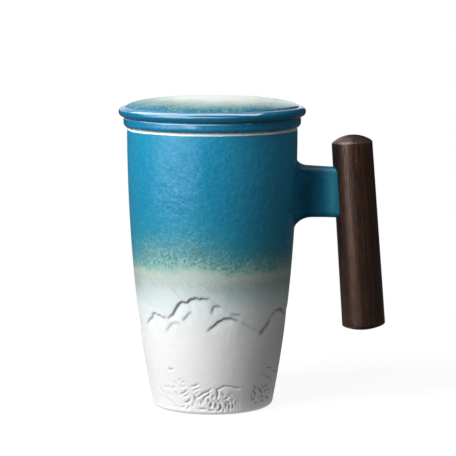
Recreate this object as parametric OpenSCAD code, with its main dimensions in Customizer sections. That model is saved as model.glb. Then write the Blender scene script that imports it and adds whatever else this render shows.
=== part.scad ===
// Lidded ceramic tea mug with a lift-out strainer and a turned wooden handle.
// Millimetres, +Z up. The origin is on the mug's axis, on the surface that the mug stands on,
// and the handle points along +X.

/* [Mug] */
// Outer diameter of the mug at its rim
rim_d = 80.8; // [74:0.2:92]
// Outer diameter that the wall's curve reaches at the table
foot_d = 57; // [52:0.2:64]
// Height of the mug from the table to its rim
mug_h = 133; // [118:0.2:150]
// Height that sets where the wall's curve turns upright
belly_h = 60; // [45:1:75]
// Thickness of the mug's wall
mug_wall = 3.6; // [3:0.1:5]
// Height of the inside floor above the table
mug_floor = 5.6; // [4.5:0.1:9]
// Radius of the inside corner between floor and wall
floor_round = 8; // [3:0.5:14]
// Radius of the outside edge at the foot
foot_round = 2.2; // [1:0.1:4]
// Width of the flat ring that the mug stands on
foot_ring_w = 4; // [2.5:0.1:7]
// Depth of the hollow inside the foot ring
foot_hollow = 1.6; // [0.8:0.1:2.5]
// Radius of both edges of the rim
lip_round = 1.1; // [0.6:0.1:1.4]

/* [Strainer] */
// Height of the strainer's collar, which rests on the mug's rim
collar_h = 5.2; // [4:0.1:8]
// How far the collar stands out past the mug's rim
collar_overhang = 1.6; // [0.5:0.1:3]
// Radius of the collar's lower outside edge
collar_round = 2.4; // [1.5:0.1:3.6]
// Radius of the collar's two upper edges
collar_edge = 1.2; // [0.3:0.1:1.5]
// Gap between the strainer's neck and the mug's wall
strainer_gap = 0.8; // [0.4:0.1:1.5]
// Thickness of the strainer's wall
strainer_wall = 2.8; // [2:0.1:4]
// Height of the strainer's straight neck, measured below the rim
neck_h = 10; // [6:0.5:18]
// Depth of the strainer, measured below the rim
basket_depth = 80; // [60:1:95]
// Outer diameter of the strainer at its bottom
basket_foot_d = 54; // [48:0.5:58]
// Thickness of the strainer's bottom
basket_floor = 3; // [2:0.1:5]
// Radius of the strainer's outside bottom edge
basket_round = 6; // [4.5:0.5:9]
// Diameter of the straining holes
hole_d = 2.4; // [1.5:0.1:3]
// Distance between the rings of holes in the bottom, and between the rows in the wall
hole_pitch = 5.2; // [4.2:0.1:7]
// Number of rings of holes around the middle one
hole_rings = 3; // [1:1:3]
// Number of rows of holes in the lower wall
wall_rows = 2; // [0:1:4]
// Number of holes in each row of the wall
holes_per_row = 16; // [8:2:24]

/* [Lid] */
// How far the lid's rolled edge stands out past the mug's rim
lid_overhang = 3.9; // [2.5:0.1:6]
// Radius of the lid's rolled edge
roll_r = 2.3; // [1.8:0.1:3.5]
// Height of the dome above the crease inside the rolled edge
dome_rise = 5; // [3:0.1:9]
// Thickness of the dome
dome_wall = 3.8; // [2.8:0.1:5]
// Height of the locating ring below the lid's seat
ring_h = 4.5; // [3:0.5:12]
// Thickness of the locating ring
ring_wall = 3; // [2:0.1:4.5]
// Gap between the locating ring and the strainer's neck
ring_gap = 0.8; // [0.4:0.1:1.5]
// Radius of the locating ring's lower edges
ring_round = 1; // [0.4:0.1:1.4]

/* [Lug] */
// Distance from the rim down to the middle of the lug
lug_drop = 31; // [28:0.2:45]
// Length of the lug, from the mug's wall to the wood
lug_l = 18.2; // [14:0.1:26]
// Height of the lug at the wood
lug_h = 23.8; // [18:0.2:28]
// Thickness of the lug at its waist
lug_t = 8.4; // [7:0.1:10.5]
// Radius of the lug's long edges
lug_edge = 3; // [1.5:0.1:3.4]
// Height and length of the fillet over the lug, at the wall
fillet_top = [3, 4.5];
// Height and length of the fillet under the lug, at the wall
fillet_under = [6.4, 7.5];
// Thickness and length of the fillet on each side of the lug, at the wall
fillet_side = [2.6, 6];
// How much the lug thickens on each side where it meets the wood, and over what length
end_flare = [1.2, 6];

/* [Handle] */
// Length of the handle between its two end edges
handle_l = 88; // [76:0.2:110]
// Length of the handle above the middle of the lug
handle_up = 24; // [18:0.2:30]
// Diameter of the handle at its upper edge
handle_top_d = 19.4; // [17:0.1:23]
// Diameter of the handle at its lower edge
handle_foot_d = 20.6; // [17:0.1:25]
// Height of the handle's upper dome
handle_dome = 3.4; // [1:0.1:5]
// Height of the handle's lower dome
handle_foot_dome = 2.3; // [0.5:0.1:4]
// Lean of the handle, in degrees, with its foot away from the mug
handle_lean = 4.1; // [0:0.1:7]
// Height of the tenon that holds the handle
tenon_h = 16; // [10:0.2:17]
// Thickness of the tenon
tenon_t = 5; // [3.5:0.1:5.6]
// Depth of the tenon in the wood
tenon_depth = 10; // [6:0.2:11]
// Thickness of the glue line around the tenon
glue_line = 0.3; // [0.15:0.05:0.5]

/* [Hidden] */

// Fineness of the round surfaces, of the curves in an outline, and of a small rounded edge
$fn = 96;
curve_steps = 20;
edge_steps = 6;
// Number of sections along the lug, and how near its fillets come to running out along the wall
lug_sections = 18;
fillet_reach = 0.97;
// How far cutting tools run past what they cut
overcut = 1;

rim_r = rim_d / 2;
foot_r = foot_d / 2;
neck_r = rim_r - mug_wall - strainer_gap;
neck_bore_r = neck_r - strainer_wall;
seat_z = mug_h + collar_h;
basket_z = mug_h - basket_depth;
basket_r = basket_foot_d / 2;
lug_z = mug_h - lug_drop;
wall_x = mug_r(lug_z);
handle_down = handle_l - handle_up;
handle_x = wall_x + lug_l + handle_r(0);

// Points on an arc from angle a0 to angle a1 around the point [x, y]
function arc(x, y, r, a0, a1, steps) =
    [for (i = [0:steps]) let (a = a0 + (a1 - a0) * i / steps) [x + r * cos(a), y + r * sin(a)]];

// Outer radius of the mug at height z: a parabola that is upright at the rim
function curve_share(z) = z / (belly_h + sqrt(pow(belly_h, 2) + (mug_h - 2 * belly_h) * z));
function mug_r(z) = rim_r - (rim_r - foot_r) * pow(1 - curve_share(z), 2);

// Outer edge of the mug in section, from the foot ring up to the rim's flat
function mug_outer_edge() = concat(
    arc(mug_r(foot_round) - foot_round, foot_round, foot_round, -90, 0, edge_steps),
    [for (i = [1:curve_steps - 1])
        let (z = foot_round + (mug_h - lip_round - foot_round) * i / curve_steps) [mug_r(z), z]],
    arc(mug_r(mug_h - lip_round) - lip_round, mug_h - lip_round, lip_round, 0, 90, edge_steps));

// Inner edge of the mug in section, from the rim's flat down to the middle of the floor
function mug_inner_edge() =
    let (z_low = mug_floor + floor_round, z_high = mug_h - lip_round)
    concat(
        arc(mug_r(z_high) - mug_wall + lip_round, z_high, lip_round, 90, 180, edge_steps),
        [for (i = [1:curve_steps - 1])
            let (z = z_high + (z_low - z_high) * i / curve_steps) [mug_r(z) - mug_wall, z]],
        arc(mug_r(z_low) - mug_wall - floor_round, z_low, floor_round, 0, -90, 2 * edge_steps),
        [[0, mug_floor]]);

// The cup: a tapered wall, a foot ring around a shallow hollow, and a rounded rim
module mug_body() {
    foot_edge_r = mug_r(foot_round) - foot_round;
    color("steelblue")
        rotate_extrude()
            polygon(concat(
                [[0, foot_hollow], [foot_edge_r - foot_ring_w - foot_hollow, foot_hollow],
                    [foot_edge_r - foot_ring_w, 0]],
                mug_outer_edge(),
                mug_inner_edge()));
}

// The mug without its hollow, for cutting what stands against its wall
module mug_envelope() {
    rotate_extrude()
        polygon(concat([[0, 0]], mug_outer_edge(), [[0, mug_h]]));
}

// Share of a round fillet that is left at distance d from the wall, where it stops short of tangent
function fillet_share(d, length) =
    let (t = max(0, 1 - max(0, d) / length)) 1 - sqrt(1 - pow(fillet_reach * t, 2));

// Share of the flare that is left at distance d from the lug's end
function flare_share(d) = pow(max(0, 1 - max(0, d) / end_flare[1]), 2);

// Section of the lug at distance d from the wall: a rounded rectangle, listed as [y, z].
// Its top falls towards the wood, square to the handle.
function lug_section(d) =
    let (
        flare = end_flare[0] * flare_share(lug_l - d),
        fall = max(0, lug_l - d) * tan(handle_lean),
        top = lug_h / 2 + fall + fillet_top[0] * fillet_share(d, fillet_top[1]),
        under = lug_h / 2 + fillet_under[0] * fillet_share(d, fillet_under[1]),
        half_t = lug_t / 2 + fillet_side[0] * fillet_share(d, fillet_side[1]) + flare,
        y = half_t - lug_edge)
    concat(
        arc(y, top - lug_edge, lug_edge, 0, 90, edge_steps),
        arc(-y, top - lug_edge, lug_edge, 90, 180, edge_steps),
        arc(-y, lug_edge - under, lug_edge, 180, 270, edge_steps),
        arc(y, lug_edge - under, lug_edge, 270, 360, edge_steps));

// The lug's lofted form, from inside the mug's wall to inside the wood
module lug_loft() {
    d_start = -mug_wall / 2;
    d_end = lug_l + handle_r(0) / 2;
    points_per_ring = 4 * (edge_steps + 1);
    rings = [for (i = [0:lug_sections])
        let (d = d_start + (d_end - d_start) * pow(i / lug_sections, 1.4))
        [for (p = lug_section(d)) [wall_x + d, p[0], lug_z + p[1]]]];
    side_faces = [for (i = [0:lug_sections - 1], j = [0:points_per_ring - 1])
        let (
            a = i * points_per_ring + j,
            b = i * points_per_ring + (j + 1) % points_per_ring)
        each [[a, b + points_per_ring, b], [a, a + points_per_ring, b + points_per_ring]]];
    start_face = [for (j = [0:points_per_ring - 1]) j];
    end_face = [for (j = [points_per_ring - 1:-1:0]) lug_sections * points_per_ring + j];
    polyhedron(
        points = [for (ring = rings) each ring],
        faces = concat(side_faces, [start_face, end_face]),
        convexity = 4);
}

// The ceramic lug: luted to the mug's wall, hollowed to the handle's round, with a tenon
module handle_lug() {
    color("darkslateblue") {
        difference() {
            lug_loft();
            mug_envelope();
            in_handle_frame() turned_handle();
        }
        in_handle_frame() tenon_block(0);
    }
}

// Moves from the handle's own frame, with its axis upright, to where the handle is
module in_handle_frame() {
    translate([handle_x, 0, lug_z])
        rotate([0, -handle_lean, 0])
            children();
}

// Radius of the handle at height z above the middle of the lug, along the handle
function handle_r(z) =
    handle_foot_d / 2 + (handle_top_d - handle_foot_d) / 2 * (z + handle_down) / handle_l;

// Points on a dome of a given radius and rise, from its edge to its tip
function dome_edge(r, rise) =
    let (big_r = (r * r + rise * rise) / (2 * rise), half_angle = asin(r / big_r))
    [for (i = [0:edge_steps])
        let (a = half_angle * (1 - i / edge_steps))
        [big_r * sin(a), big_r * cos(a) - big_r + rise]];

// The turned handle before it is mortised
module turned_handle() {
    upper = [for (p = dome_edge(handle_top_d / 2, handle_dome)) [p[0], handle_up + p[1]]];
    lower = [for (p = dome_edge(handle_foot_d / 2, handle_foot_dome)) [p[0], -handle_down - p[1]]];
    lower_first = [for (i = [edge_steps:-1:0]) lower[i]];
    rotate_extrude()
        polygon(concat(lower_first, upper));
}

// A block with round ends, from the lug's side into the wood, grown on every side by a margin
module tenon_block(grow) {
    r = tenon_t / 2 + grow;
    straight = tenon_h / 2 - tenon_t / 2;
    x_wood = -handle_r(0);
    rotate([0, 90, 0])
        translate([0, 0, x_wood - overcut])
            linear_extrude(overcut + tenon_depth + grow)
                polygon(concat(
                    arc(straight, 0, r, -90, 90, 2 * edge_steps),
                    arc(-straight, 0, r, 90, 270, 2 * edge_steps)));
}

// The handle with the mortise that takes the tenon and its glue
module wood_handle() {
    color("saddlebrown")
        in_handle_frame()
            difference() {
                turned_handle();
                tenon_block(glue_line);
            }
}

// The glue that fills the mortise around the tenon
module handle_glue() {
    color("khaki")
        in_handle_frame()
            difference() {
                intersection() {
                    tenon_block(glue_line);
                    turned_handle();
                }
                tenon_block(0);
            }
}

// The strainer in section: a collar on the rim, a straight neck and a tapered basket
function strainer_outline() =
    let (
        collar_r = rim_r + collar_overhang,
        inner_round = basket_round - basket_floor / 2,
        bore_r = basket_r - strainer_wall)
    concat(
        [[0, basket_z]],
        arc(basket_r - basket_round, basket_z + basket_round, basket_round, -90, 0, edge_steps),
        [[neck_r, mug_h - neck_h], [neck_r, mug_h]],
        arc(collar_r - collar_round, mug_h + collar_round, collar_round, -90, 0, edge_steps),
        arc(collar_r - collar_edge, seat_z - collar_edge, collar_edge, 0, 90, edge_steps),
        arc(neck_bore_r + collar_edge, seat_z - collar_edge, collar_edge, 90, 180, edge_steps),
        [[neck_bore_r, mug_h - neck_h]],
        arc(bore_r - inner_round, basket_z + basket_floor + inner_round, inner_round, 0, -90, edge_steps),
        [[0, basket_z + basket_floor]]);

// Straining holes: rings of six, twelve and so on in the bottom, then rows in the lower wall
module strainer_holes() {
    for (ring = [0:hole_rings])
        let (count = max(1, 6 * ring))
        for (i = [0:count - 1])
            rotate([0, 0, 360 * i / count])
                translate([ring * hole_pitch, 0, basket_z - overcut])
                    cylinder(h = basket_floor + 2 * overcut, d = hole_d, $fn = 24);
    first_row_z = basket_z + basket_round + basket_floor + hole_d;
    for (row = [0:1:wall_rows - 1], i = [0:holes_per_row - 1])
        rotate([0, 0, 360 * (i + row / 2) / holes_per_row])
            translate([basket_r - 2 * strainer_wall, 0, first_row_z + row * hole_pitch])
                rotate([0, 90, 0])
                    cylinder(h = 4 * strainer_wall, d = hole_d, $fn = 24);
}

module strainer() {
    color("lightblue")
        difference() {
            rotate_extrude() polygon(strainer_outline());
            strainer_holes();
        }
}

// The lid: a low dome inside a rolled edge, with a locating ring underneath. The dome is half an
// ellipse in section, and its underside is the same curve, lower by the dome's thickness.
module lid() {
    roll = [rim_r + lid_overhang - roll_r, seat_z + roll_r];
    crease_angle = 115;
    crease = roll + roll_r * [cos(crease_angle), sin(crease_angle)];
    ring_r = neck_bore_r - ring_gap;
    ring_bore_r = ring_r - ring_wall;
    ring_foot_z = seat_z - ring_h + ring_round;
    bore_angle = acos(ring_bore_r / crease[0]);
    dome = [for (i = [0:curve_steps - 1])
        let (a = 90 * (1 - i / curve_steps)) [crease[0] * cos(a), crease[1] + dome_rise * sin(a)]];
    underside = [for (i = [0:curve_steps])
        let (a = bore_angle + (90 - bore_angle) * i / curve_steps)
        [crease[0] * cos(a), crease[1] + dome_rise * sin(a) - dome_wall]];
    color("teal")
        rotate_extrude()
            polygon(concat(
                dome,
                arc(roll[0], roll[1], roll_r, crease_angle, -90, 3 * edge_steps),
                [[ring_r, seat_z]],
                arc(ring_r - ring_round, ring_foot_z, ring_round, 0, -90, edge_steps),
                arc(ring_bore_r + ring_round, ring_foot_z, ring_round, -90, -180, edge_steps),
                underside));
}

mug_body();
handle_lug();
handle_glue();
wood_handle();
strainer();
lid();
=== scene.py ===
import math

import bpy
import numpy as np
from mathutils import Matrix, Vector


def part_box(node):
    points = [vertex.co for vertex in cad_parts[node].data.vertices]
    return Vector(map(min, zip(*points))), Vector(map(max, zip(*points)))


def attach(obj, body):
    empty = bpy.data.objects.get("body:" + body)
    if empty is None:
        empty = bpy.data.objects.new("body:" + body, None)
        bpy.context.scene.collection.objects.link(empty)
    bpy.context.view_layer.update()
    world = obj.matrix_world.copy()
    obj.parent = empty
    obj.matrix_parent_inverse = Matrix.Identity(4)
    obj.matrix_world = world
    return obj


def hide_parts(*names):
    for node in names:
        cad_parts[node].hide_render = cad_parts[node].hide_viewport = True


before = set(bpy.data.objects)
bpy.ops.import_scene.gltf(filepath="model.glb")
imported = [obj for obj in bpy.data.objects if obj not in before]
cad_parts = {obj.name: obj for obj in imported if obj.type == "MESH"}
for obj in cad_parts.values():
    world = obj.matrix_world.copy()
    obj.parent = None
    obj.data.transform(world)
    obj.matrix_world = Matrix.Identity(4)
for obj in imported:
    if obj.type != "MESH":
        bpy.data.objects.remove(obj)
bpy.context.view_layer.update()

# Sizes are in millimetres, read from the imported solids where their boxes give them.
MM = 0.001
rim_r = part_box("mug_body")[1].y / MM
mug_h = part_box("mug_body")[1].z / MM
seat_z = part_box("strainer")[1].z / MM
lid_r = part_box("lid")[1].y / MM
lid_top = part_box("lid")[1].z / MM

# The mug's section, as in the part's source
foot_r = 28.5
belly_h = 60
mug_wall = 3.6
mug_floor = 5.6
floor_round = 8
foot_round = 2.2
foot_ring_w = 4
foot_hollow = 1.6
foot_soft = 0.3
lip_round = 1.1
neck_bore_r = 33.2

# The lid's section
roll_r = 2.3
crease_angle = 115
dome_wall = 3.8
ring_h = 4.5
ring_wall = 3
ring_gap = 0.8
ring_round = 1
ring_root = 0.3
seat_w = 3
lid_columns = 256

# The lug and the handle
lug_z = mug_h - 31
lug_l = 18.2
lug_h = 23.8
lug_t = 8.4
lug_edge = 3
fillet_top = (3, 4.5)
fillet_under = (6.4, 7.5)
fillet_side = (2.6, 6)
end_flare = (1.2, 6)
fillet_reach = 0.97
handle_l = 88
handle_up = 24
handle_top_r = 9.7
handle_foot_r = 10.3
handle_dome = 3.4
handle_foot_dome = 2.3
handle_edge = 0.5
handle_lean = math.radians(4.1)
handle_columns = 128

# How the visible lug is lofted: its bend around the wall, how far it sinks into the wall and the wood,
# and its sections, which are closest at the wall
lug_bend = 8
lug_sink = 0.6
lug_into_wood = 4
lug_sections = 40
lug_crowding = 1.6
lug_corner_steps = 10

# Carving on the mug: how high the waves and the ridges reach, and how fine the mesh is there
wave_top = 26
ridge_low = 34
ridge_high = 64
carve_step = 0.25
plain_step = 1.0
mug_columns = 960


def arc(x, y, r, start, end, steps):
    """Points on an arc around (x, y), with its angles in degrees."""
    angles = np.radians(np.linspace(start, end, steps + 1))
    return [(x + r * math.cos(a), y + r * math.sin(a)) for a in angles]


def smooth(value):
    """A soft step from 0 to 1."""
    t = np.clip(value, 0, 1)
    return t * t * (3 - 2 * t)


def quads(rows, columns, closed):
    """Faces between rows of points, closed around or open at the sides."""
    faces = []
    for i in range(rows - 1):
        for j in range(columns if closed else columns - 1):
            k = (j + 1) % columns
            faces.append((i * columns + j, i * columns + k, (i + 1) * columns + k, (i + 1) * columns + j))
    return faces


def make_piece(name, points, faces, body, node, materials, zone=None):
    """A mesh piece in the part's frame that stands for a CAD node and moves with its body. The zone says
    which of its materials each face has."""
    mesh = bpy.data.meshes.new(name)
    mesh.from_pydata([tuple(p) for p in np.asarray(points) * MM], [], faces)
    for material in materials:
        mesh.materials.append(material)
    if zone is not None:
        mesh.polygons.foreach_set("material_index", np.asarray(zone, np.int32))
    mesh.polygons.foreach_set("use_smooth", np.ones(len(mesh.polygons), bool))
    mesh.update()
    piece = bpy.data.objects.new(name, mesh)
    bpy.context.scene.collection.objects.link(piece)
    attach(piece, body)
    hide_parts(node)
    return piece


def turns_of(columns):
    """Turns around the axis, from the front, at which a turned form has its points."""
    return 2 * math.pi * np.arange(columns) / columns


def lathe(outline, columns, shift=0):
    """Points and faces of a turned form. The outline lists (radius, height) from pole to pole, and
    shift says how far the points move outwards. With the faces comes the row that each one is in."""
    rows = np.array(outline[1:-1])
    turn = turns_of(columns)
    radius = np.repeat(rows[:, :1], columns, axis=1) + shift
    height = np.repeat(rows[:, 1:], columns, axis=1)
    grid = np.stack([radius * np.sin(turn), -radius * np.cos(turn), height], axis=2)
    points = np.concatenate([grid.reshape(-1, 3), [(0, 0, outline[0][1]), (0, 0, outline[-1][1])]])
    first_pole = len(rows) * columns
    last = first_pole - columns
    faces = [(first_pole, (j + 1) % columns, j) for j in range(columns)]
    faces += quads(len(rows), columns, True)
    faces += [(last + j, last + (j + 1) % columns, first_pole + 1) for j in range(columns)]
    return points, faces, np.repeat(np.arange(len(rows) + 1), columns)


def mug_radius(z):
    """Outer radius of the mug at height z."""
    share = z / (belly_h + np.sqrt(belly_h**2 + (mug_h - 2 * belly_h) * z))
    return rim_r - (rim_r - foot_r) * (1 - share) ** 2


# Ridge lines of distant hills: (turn from the front in degrees, height), then depth in mm
RIDGES = [
    ([(-62, 40.8), (-56, 44.3), (-53, 45), (-51, 47.3), (-48, 47.7), (-40, 46.4), (-35, 46.6)], 0.7),
    ([(-37, 46.4), (-34, 46.7), (-31, 48.2), (-25, 53.8), (-23, 54.5), (-18, 54.6), (-15.5, 56.2),
      (-12, 56.7), (-8, 56.4), (-0.5, 56.8)], 1.05),
    ([(-16.5, 55.4), (-13, 56.1), (-8, 55.9), (-1, 56.3)], 0.6),
    ([(-0.5, 56.8), (1.5, 54.4), (4, 50.5), (7, 47)], 0.2),
    ([(-17.5, 54.6), (-16.8, 52.5), (-15.2, 50.1)], 0.25),
    ([(-24, 44.8), (-20, 47.6), (-17.5, 49.4), (-14, 50.6)], 0.9),
    ([(-0.8, 48), (0.2, 51.5), (1.2, 52.9), (2.5, 53.2), (4, 52.8), (8, 53)], 0.85),
    ([(8, 53), (10.5, 50.6), (13, 49.4)], 0.15),
    ([(12.5, 49.5), (16, 49), (23, 48.1)], 0.6),
    ([(-39, 39), (-35, 42), (-32, 44), (-28, 44.8), (-24, 43.2)], 0.5),
    ([(-5, 40.6), (-2, 42), (1.5, 43.8), (5, 45.7), (9, 47), (12, 47.2), (16, 46.6), (21, 45.2)], 0.9),
    ([(20, 45.6), (25, 44.2), (29, 42.6), (35, 40.4), (39, 38.4)], 0.25),
    ([(38, 37.4), (42, 40), (46, 42), (50, 44.8), (53, 47), (57, 48.2), (63, 48.5), (67, 47.2),
      (71, 45.2)], 1.2),
    ([(40, 37.4), (44, 39.8), (48, 42), (52, 45.2)], 0.9),
    ([(70, 45.6), (77, 45.2), (84, 47.6), (92, 50.8), (99, 47.2), (108, 43), (116, 40.2)], 0.9),
    ([(-34, 62.6), (-27, 58.8), (-23, 55.6)], 0.2),
    ([(106, 40.8), (113, 44.6), (121, 49.4), (127, 53.6), (134, 55.6), (141, 52.2), (148, 48.8),
      (156, 50.6), (163, 47.6), (171, 43)], 1.1),
    ([(131, 41.2), (139, 44.6), (147, 46.2), (156, 43), (164, 39.6)], 0.8),
    ([(166, 41.6), (174, 45.4), (183, 51), (190, 55), (197, 56.6), (205, 53), (212, 50.2), (221, 47.4),
      (231, 43.8)], 1.1),
    ([(188, 43), (196, 46.4), (204, 47.4), (212, 44)], 0.7),
    ([(222, 39.8), (231, 44.2), (240, 49.2), (247, 51.6), (255, 47.6), (263, 45.8), (272, 48.8),
      (280, 45), (290, 40.6)], 1.1),
]
hill_r = 36.1

# A ridge's line wavers, as (height, waves per mm, start). Under it lie a steep step, a cleft that ends
# softly and a shallow slope. Each runs out towards the ends of the line.
ridge_waver = ((0.14, 1.9, 0), (0.1, 4.3, 1))
ridge_step = 1.1
ridge_foot = 3.4
cleft_cut = 0.7
slope_cut = 0.05
hill_fade = 8
line_run_out = 2.0
cleft_run_out = 6
cleft_run_share = 0.4
hill_run_out = 8
short_ridge = 16
long_ridge = 30
# Width of the grey painted shade along a ridge's line, which partly stands for glaze pooled there
ridge_shade_w = 0.75

# Strokes of one group of waves: points as (place along the foot, height), then depth
STROKES = [
    ([(-6.7, 8.7), (-5.2, 9.8), (-3.9, 10.7), (-1.8, 11.7), (-0.5, 12.6)], 1.0),
    ([(1.8, 12.6), (3.6, 13.2), (5.2, 13.9), (6.7, 14.1), (8.2, 13.9), (10.2, 13.4), (13, 12.6)], 0.9),
    ([(2.2, 12.6), (2.6, 11.1), (2.7, 9.8), (2.5, 8.1)], 1.1),
    ([(-8.3, 9.3), (-8, 7.8), (-8.1, 6.7)], 1.2),
    ([(-10.5, 7.8), (-11, 6.7), (-11.9, 5.9), (-13.5, 5.6)], 1.1),
    ([(-12, 11.6), (-13.3, 10.7), (-14.6, 9.8), (-14.8, 9.1)], 1.0),
    ([(-11.3, 9.9), (-12.6, 9.1), (-13.7, 8.3)], 0.7),
    ([(-15.4, 13.6), (-14.6, 13.1)], 0.7),
    ([(-13.7, 13.1), (-12.7, 13.7)], 0.7),
    ([(-9.2, 13.9), (-7.6, 14.2), (-6.3, 15.2)], 0.8),
    ([(-8.3, 11.8), (-7.4, 12.6), (-5.7, 12.9)], 0.7),
    ([(-7.2, 10.5), (-6.3, 11.4)], 0.7),
    ([(-3.9, 6.9), (-3.7, 8.5), (-2.6, 9.2), (-1.4, 10), (-1.3, 11.1)], 1.0),
    ([(-5.1, 7.1), (-5, 5.2)], 1.0),
    ([(-7.2, 6.4), (-6.8, 5.2)], 0.7),
    ([(-1.8, 7.8), (-1.4, 6.4)], 1.3),
    ([(0.9, 9.5), (0.1, 8.3)], 1.2),
    ([(0.6, 7.3), (1.7, 6.7)], 1.0),
    ([(2.8, 7.2), (3.9, 6.1)], 1.0),
    ([(4.8, 10.4), (5.4, 9.3)], 1.1),
    ([(7.4, 8.7), (6, 7.6)], 1.2),
    ([(6.9, 6.7), (8, 5.9), (8.2, 4.8)], 1.0),
    ([(-0.4, 6.1), (-0.7, 3.7)], 1.5),
    ([(-1.8, 2.5), (1, 2.4)], 1.1),
    ([(1.8, 6.1), (1.8, 3.5)], 1.5),
    ([(4, 5.4), (4.4, 3.5), (3.7, 2.6), (2.8, 2.2)], 1.5),
    ([(5.5, 3), (5.7, 1.5)], 1.1),
    ([(6.7, 5.9), (7.2, 3.5)], 1.0),
    ([(8.2, 5.2), (8.7, 2.4)], 1.2),
    ([(10.1, 4.8), (10.4, 2.8)], 1.2),
    ([(9.6, 8.2), (10.6, 6.9)], 0.7),
    ([(11.6, 6.6), (12.3, 4.4)], 0.6),
    ([(-6.3, 2.9), (-2.6, 2.9)], 0.9),
    ([(-16, 2.9), (-13.9, 3.7)], 0.8),
    ([(-12.6, 2.6), (-10.7, 3.9)], 0.8),
    ([(-8.9, 6.1), (-9.4, 3.9)], 0.6),
    ([(8.4, 9.9), (9.7, 8.9)], 0.6),
    ([(10.6, 9.6), (11.8, 8.2)], 0.45),
    ([(12.7, 8.2), (13.5, 6)], 0.4),
    ([(9.3, 7), (9.9, 5.7)], 0.6),
    ([(11.5, 3.7), (11.8, 1.9)], 0.55),
    ([(13.2, 4.8), (13.5, 2.6)], 0.4),
    ([(-29.5, 13), (-28.2, 10.4), (-25.6, 8.4)], 0.4),
    ([(-27, 6.8), (-23.6, 6), (-20.8, 4.6)], 0.4),
    ([(-22.6, 9.2), (-19.8, 8)], 0.45),
    ([(-18.6, 10.4), (-17.4, 8.8), (-17, 7)], 0.5),
    ([(-20, 3.2), (-17.8, 3)], 0.5),
    ([(-18, 15.4), (-16.8, 14.2)], 0.5),
    ([(-14.4, 15.4), (-12.8, 15.9)], 0.5),
    ([(-20.6, 21), (-18.2, 21.5)], 1.0),
    ([(-25, 11.8), (-21.6, 12.5)], 0.5),
    ([(-20.1, 11.8), (-17.7, 12.8)], 0.5),
    ([(-15.8, 16), (-13.8, 17.3)], 0.5),
    ([(20.8, 13.1), (22.5, 11.2)], 1.1),
    ([(20.9, 10.8), (22.8, 8)], 1.5),
    ([(24.7, 11), (26.9, 8.7)], 1.4),
    ([(26.2, 11.3), (28.6, 11.5), (31.1, 12)], 1.3),
    ([(31.6, 5.8), (34.5, 4.8)], 1.5),
    ([(28.4, 21), (31.6, 20)], 1.3),
    ([(34.5, 18), (37.4, 17)], 1.3),
    ([(24.8, 7), (25.6, 6)], 1.3),
    ([(24.7, 17.3), (27.2, 17.8)], 0.8),
    ([(28.6, 16.8), (31.1, 15)], 1.0),
    ([(20.1, 9), (21, 5.5)], 1.0),
    ([(27, 5.4), (29.5, 3.8)], 1.2),
    ([(21.5, 7.4), (22.6, 5.6)], 1.2),
    ([(23, 5.2), (24, 3.6)], 1.1),
    ([(26.6, 7.6), (28.6, 6.4)], 1.2),
    ([(23.2, 12), (24.4, 10.6)], 1.0),
    ([(28.2, 9.8), (30.4, 8.6)], 1.1),
    ([(30.6, 10.2), (33, 9.4)], 1.0),
    ([(29.8, 6.6), (31, 5.6)], 1.0),
    ([(33.2, 8), (35.2, 7)], 1.0),
    ([(32.4, 14.2), (35, 13.2)], 0.9),
]
wave_r = 30.1
wave_turns = (0, 105, 205)
wave_depth = 0.42
# Strength of the grey painted shade in the wave strokes, which partly stands for glaze pooled there
wave_shade = 0.85
wave_start = 0.6
wave_run_in = 1.4

# A stroke is thinner at its tips, and it wavers with the turn and the height
stroke_w = 0.54
tip_l = 0.8
tip_share = 0.5
stroke_waver = 0.12
waver_along = (23, 0.7)
waver_up = (29, 0.8)


def around_from(turn, radius, middle):
    """How far along the wall a turn is from a middle place, to either side, at a given radius."""
    girth = 2 * math.pi * radius
    return (turn * radius - middle + girth / 2) % girth - girth / 2


def line_place(along, level, line):
    """How far a place is from a line, how far the line's nearest point is from the line's ends, and how
    long the line is."""
    nearest = np.full(np.shape(along), np.inf)
    walked = np.zeros(np.shape(along))
    length = 0
    for (x0, z0), (x1, z1) in zip(line[:-1], line[1:]):
        run = x1 - x0
        rise = z1 - z0
        share = np.clip(((along - x0) * run + (level - z0) * rise) / (run**2 + rise**2), 0, 1)
        away = np.hypot(along - x0 - share * run, level - z0 - share * rise)
        closer = away < nearest
        nearest = np.where(closer, away, nearest)
        walked = np.where(closer, length + share * math.hypot(run, rise), walked)
        length += math.hypot(run, rise)
    return nearest, np.minimum(walked, length - walked), length


def ridge_place(turn, height, line):
    """How far a place is below a ridge's line, with what line_place says about its ends."""
    crest = np.array([(math.radians(t) * hill_r, z) for t, z in line])
    middle = (crest[0, 0] + crest[-1, 0]) / 2
    along = middle + around_from(turn, hill_r, middle)
    level = height
    for reach, pace, start in ridge_waver:
        level = level + reach * np.sin(pace * along + start)
    nearest, from_end, length = line_place(along, level, crest)
    under = level < np.interp(along, crest[:, 0], crest[:, 1])
    return np.where(under, nearest, -nearest), from_end, length


def hill_relief(turn, height):
    """Depth of the hills at a place on the wall, how much of a hill's white it has, and how much grey
    painted shade lies along the ridge's line, partly for glaze pooled there."""
    depth, white, carved_shade = np.zeros((3, *np.shape(height)))
    for line, cut in RIDGES:
        below, from_end, length = ridge_place(turn, height, line)
        edge = cut * smooth(below / ridge_step + 0.5)
        deep = np.maximum(below - ridge_step / 2, 0)
        line_share = smooth(from_end / line_run_out)
        hill_share = smooth(from_end / hill_run_out) * min(1, length / long_ridge)
        cleft_share = smooth(from_end / min(cleft_run_out, cleft_run_share * length))
        cleft = cleft_cut * min(1, length / short_ridge) * np.exp(-deep / ridge_foot) * cleft_share
        slope = slope_cut * np.exp(-deep / hill_fade) * hill_share
        depth = np.maximum(depth, edge * (cleft + slope))
        white = np.maximum(white, edge * np.exp(-deep / (2 * hill_fade)) * hill_share)
        carved_shade = np.maximum(carved_shade, cut * line_share * np.exp(-((below / ridge_shade_w) ** 2)))
    return depth, white, carved_shade


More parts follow.
